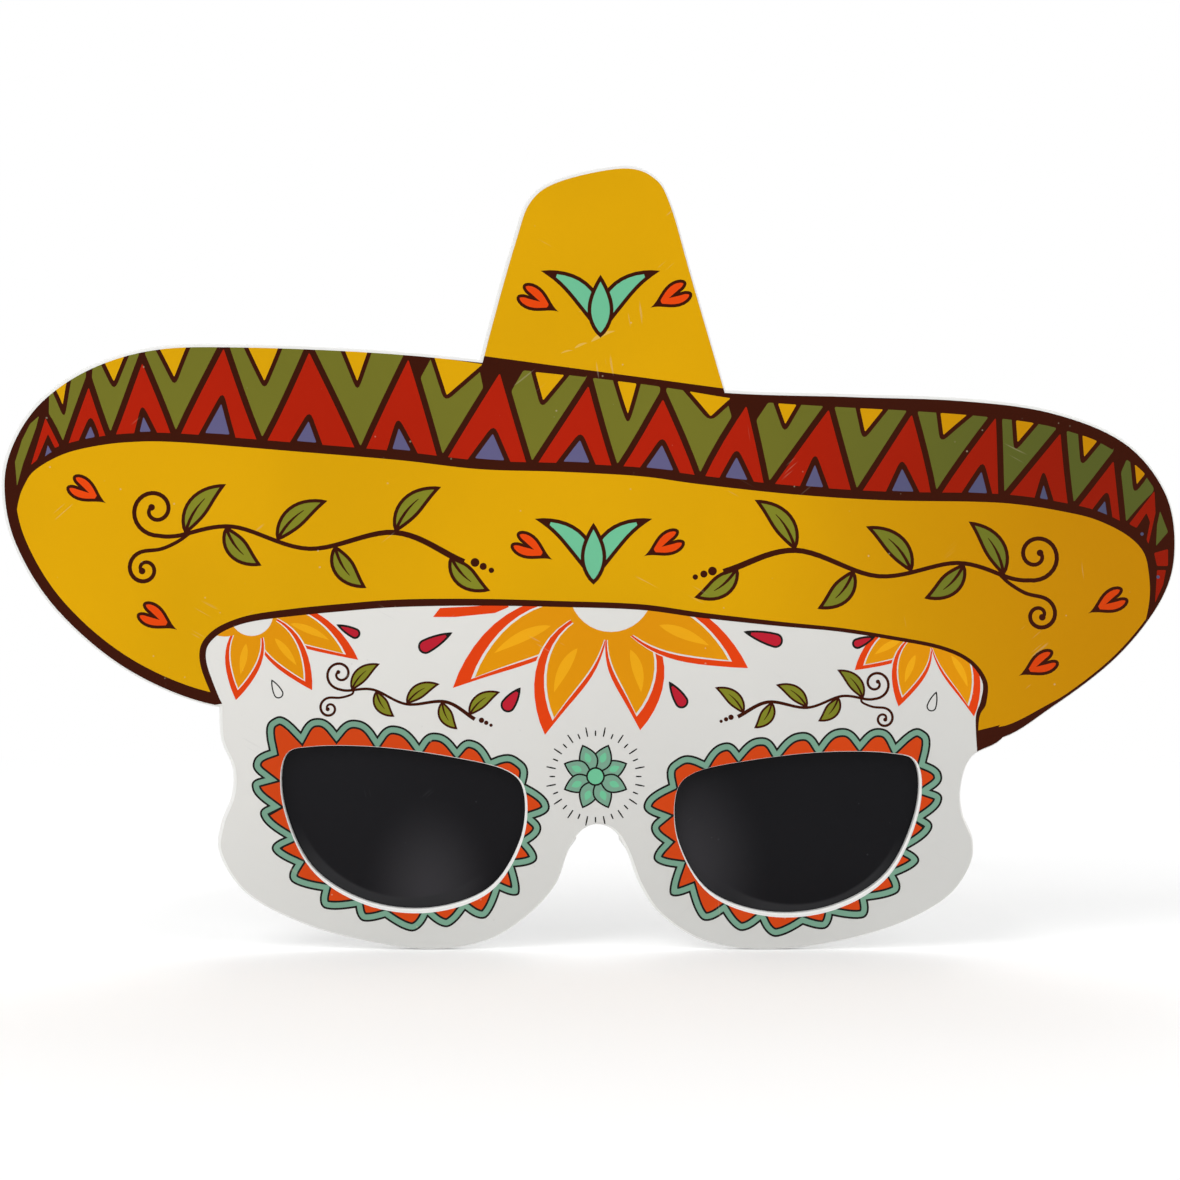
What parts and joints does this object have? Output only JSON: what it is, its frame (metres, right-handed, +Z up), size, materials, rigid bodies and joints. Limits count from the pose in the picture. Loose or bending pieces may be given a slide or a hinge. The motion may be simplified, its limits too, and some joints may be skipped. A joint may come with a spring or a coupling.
{
  "type": "party glasses",
  "caption": "Party glasses: a flat hat-over-half-face panel with a printed film, smoked lenses in a frame pegged behind it, nose pads, and temples that fold on metal hinges.",
  "frame": {"origin": "middle of the footprint, on the table that the glasses stand on", "axes": "+X runs to the wearer's left along the hat's width, +Y runs back to the ears, +Z is up"},
  "size_m": [0.235, 0.1406, 0.1569],
  "materials": {
    "white_plastic": "moulded, smooth and glossy",
    "printed_film": "colour print under a clear satin laminate, with fine scratches",
    "smoked_lens": "smoked plastic sheet, polished",
    "hinge_steel": "nickel-plated stamped metal"
  },
  "bodies": {
    "front": {"front_panel": "white_plastic", "print_film": "printed_film", "rear_frame": "white_plastic", "left_lens": "smoked_lens", "right_lens": "smoked_lens", "left_frame_hinge": "hinge_steel", "right_frame_hinge": "hinge_steel", "left_hinge_screw": "hinge_steel", "right_hinge_screw": "hinge_steel", "left_frame_rivets": "hinge_steel", "right_frame_rivets": "hinge_steel"},
    "left_temple": {"left_temple": "white_plastic", "left_temple_hinge": "hinge_steel", "left_temple_rivets": "hinge_steel"},
    "right_temple": {"right_temple": "white_plastic", "right_temple_hinge": "hinge_steel", "right_temple_rivets": "hinge_steel"}
  },
  "joints": [
    {"name": "left_temple_fold", "type": "hinge", "parent": "front", "child": "left_temple", "pos_m": [0.0704, -0.05916, 0.04515], "axis": [0, 0, 1], "range_deg": [0, 90]},
    {"name": "right_temple_fold", "type": "hinge", "parent": "front", "child": "right_temple", "pos_m": [-0.066, -0.05916, 0.04515], "axis": [0, 0, -1], "range_deg": [0, 84]}
  ]
}
